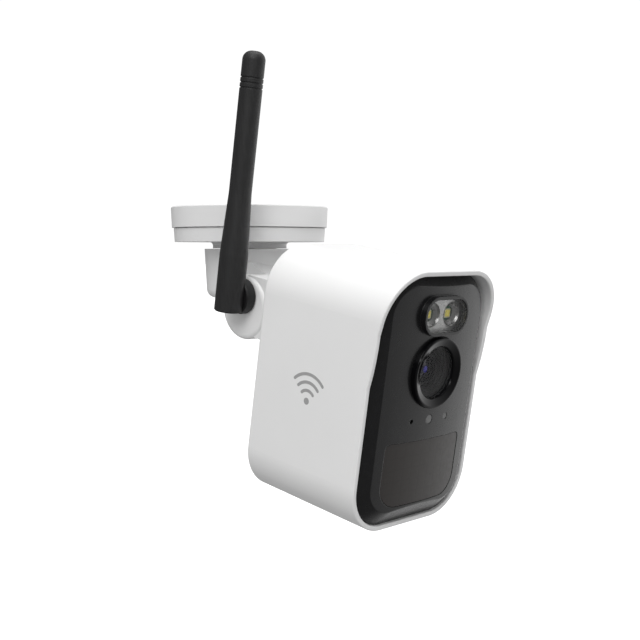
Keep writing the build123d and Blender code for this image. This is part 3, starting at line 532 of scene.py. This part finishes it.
THREAD_PITCH = 0.28
thread = bmesh.new()
for turn in range(4):
    outer = 9.3 - THREAD_PITCH * turn
    depth = BARREL_FRONT - 0.32 - THREAD_PITCH * turn
    crest = [(outer, depth), (outer - 0.1, depth + 0.1), (outer - 0.2, depth), (outer - 0.1, depth - 0.12)]
    revolve(crest, 0, LENS_Z, 96, thread)
add_piece("lens_baffle_rings", thread, "head", NODE_FINISHES["lens_barrel"])

seat = BARREL_FRONT - 3.6
retainer = [(5.55, seat - 0.3), (5.95, seat), (6.5, seat), (6.5, seat - 0.35), (5.6, seat - 0.7)]
add_piece("lens_retainer", revolve(retainer, 0, LENS_Z, 96), "head", FINISHES["black_gloss"])


# ---------------------------------------------------------------- gauze over the microphone and speaker

gauze = woven("gauze_black", (0.012, 0.012, 0.012))


def gauze_disc(name, radius, back, thickness, x, z, steps):
    """A round piece of gauze that faces forward."""
    front = back + thickness
    section = [(0, back), (radius, back), (radius, front), (0, front)]
    add_piece(name, revolve(section, x, z, steps), "head", gauze)


gauze_disc("microphone_gauze", 0.88, CAVITY_FRONT + 0.05, 0.15, MIC_X, DOTS_Z, 40)
gauze_disc("speaker_gauze", 10.0, COVER_FRONT + 0.1, 0.3, 0, GRILLE_Z, 48)


# ---------------------------------------------------------------- charging contacts and power mark

CONTACT_PITCH = 0.5
CONTACT_ROW = 10
contacts = bmesh.new()
for side in (-1, 1):
    for place in range(CONTACT_ROW):
        x = SOCKET_X + CONTACT_PITCH * (place - (CONTACT_ROW - 1) / 2)
        z = WELL_Z + side * 0.36
        pad = [(x - 0.14, z - 0.03), (x + 0.14, z - 0.03), (x + 0.14, z + 0.03), (x - 0.14, z + 0.03)]
        prism(pad, TONGUE_BACK + 0.3, TONGUE_BACK + 3.8, "y", contacts)
gold = brushed("contact_gold", (0.9, 0.68, 0.3), 0.25, (30, 1, 1))
add_piece("usb_contacts", contacts, "head", gold)

POWER_STROKE = 0.34
power_mark = bmesh.new()
ring = band((BUTTON_X, WELL_Z), 1.5, POWER_STROKE, 125, 415)
bar = rounded_box(POWER_STROKE, 1.3, 0.16, BUTTON_X, WELL_Z + 1.25, 4)
for outline in (ring, bar):
    prism(outline, BUTTON_BACK - PRINT, BUTTON_BACK + PRINT, "y", power_mark)
add_piece("power_mark", power_mark, "power_button", ink)


# ---------------------------------------------------------------- floor, lights and camera

FLOOR_DROP = 0.16


def floor():
    """A wide pale floor below the camera, seen by the eye but giving no bounce of its own."""
    reach = 14.0
    shape = bmesh.new()
    cells = 16
    bmesh.ops.create_grid(shape, x_segments=cells, y_segments=cells, size=reach)
    mesh = bpy.data.meshes.new("floor")
    shape.to_mesh(mesh)
    shape.free()
    ground = bpy.data.objects.new("floor", mesh)
    ground.location = (0, 0, cad_box[0].z - FLOOR_DROP)
    bpy.context.scene.collection.objects.link(ground)
    material, tree, shader = new_material("floor_pale", (0.9, 0.9, 0.9), 0.7, Emission_Strength=0.8)
    shader.inputs["Emission Color"].default_value = (1, 1, 1, 1)
    wash = noise(tree, coordinates(tree), 2.0, 2.0)
    tones = [(0.3, (0.89, 0.89, 0.89)), (0.7, (0.92, 0.92, 0.92))]
    tree.links.new(ramp(tree, wash, tones), shader.inputs["Base Color"])
    mesh.materials.append(material)
    ground.visible_diffuse = False
    ground.visible_glossy = False
    ground.visible_shadow = False
    ground.visible_transmission = False


def soft_light(name, place, aim, size, watts, height=None):
    """A rectangular softbox that faces aim."""
    lamp = bpy.data.lights.new(name, "AREA")
    lamp.shape = "RECTANGLE"
    lamp.size = size
    lamp.size_y = height or size
    lamp.energy = watts
    holder = bpy.data.objects.new(name, lamp)
    holder.location = place
    holder.rotation_euler = (Vector(aim) - Vector(place)).to_track_quat("-Z", "Y").to_euler()
    bpy.context.scene.collection.objects.link(holder)


def by_direction(tree, axis, stops):
    """A background whose brightness follows one axis of the direction; stops are (place, level)."""
    place = tree.nodes.new("ShaderNodeTexCoord")
    split = tree.nodes.new("ShaderNodeSeparateXYZ")
    tree.links.new(place.outputs["Generated"], split.inputs["Vector"])
    along = spread(tree, split.outputs[axis], 0.0, 1.0, -1.0, 1.0)
    light = tree.nodes.new("ShaderNodeBackground")
    tree.links.new(ramp(tree, along, [(p, (level,) * 3) for p, level in stops]), light.inputs["Color"])
    return light


def surroundings(fill):
    """A white surround: soft from above, brightest as a reflection on the camera's own left."""
    world = bpy.data.worlds.new("studio")
    world.use_nodes = True
    tree = world.node_tree
    tree.nodes.clear()
    soft = by_direction(tree, "Z", [(0.0, fill * 0.62), (0.45, fill * 0.8), (1.0, fill)])
    mirrored = by_direction(tree, "X", [(0.0, 0.1), (0.62, 0.1), (0.86, 0.45), (1.0, 1.0)])
    mirrored.inputs["Strength"].default_value = 1.5
    seen = tree.nodes.new("ShaderNodeBackground")
    seen.inputs["Color"].default_value = (1, 1, 1, 1)
    seen.inputs["Strength"].default_value = 1.05
    path = tree.nodes.new("ShaderNodeLightPath")
    result = soft.outputs["Background"]
    for kind, backdrop in (("Is Glossy Ray", mirrored), ("Is Camera Ray", seen)):
        choice = tree.nodes.new("ShaderNodeMixShader")
        tree.links.new(path.outputs[kind], choice.inputs["Fac"])
        tree.links.new(result, choice.inputs[1])
        tree.links.new(backdrop.outputs["Background"], choice.inputs[2])
        result = choice.outputs["Shader"]
    output = tree.nodes.new("ShaderNodeOutputWorld")
    tree.links.new(result, output.inputs["Surface"])
    bpy.context.scene.world = world


floor()
surroundings(0.62)
TARGET = (0.0, -0.05, -0.05)
soft_light("key", (-0.75, -0.55, 0.6), TARGET, 0.7, 6.0)
soft_light("overhead", (0.05, -0.1, 0.95), TARGET, 0.9, 6.0)

EYE = Vector((-0.3192, -0.3521, -0.0187))
SIGHT = Vector((0.7177, 0.6931, -0.0673))
FOCAL_LENGTH = 59.23
camera = bpy.data.objects.new("camera", bpy.data.cameras.new("camera"))
camera.data.lens = FOCAL_LENGTH
camera.data.sensor_width = 36.0
camera.data.clip_start = 0.01
camera.data.clip_end = 100.0
camera.location = EYE
camera.rotation_euler = SIGHT.to_track_quat("-Z", "Y").to_euler()
bpy.context.scene.collection.objects.link(camera)
bpy.context.scene.camera = camera

bpy.context.scene.view_settings.view_transform = "Standard"
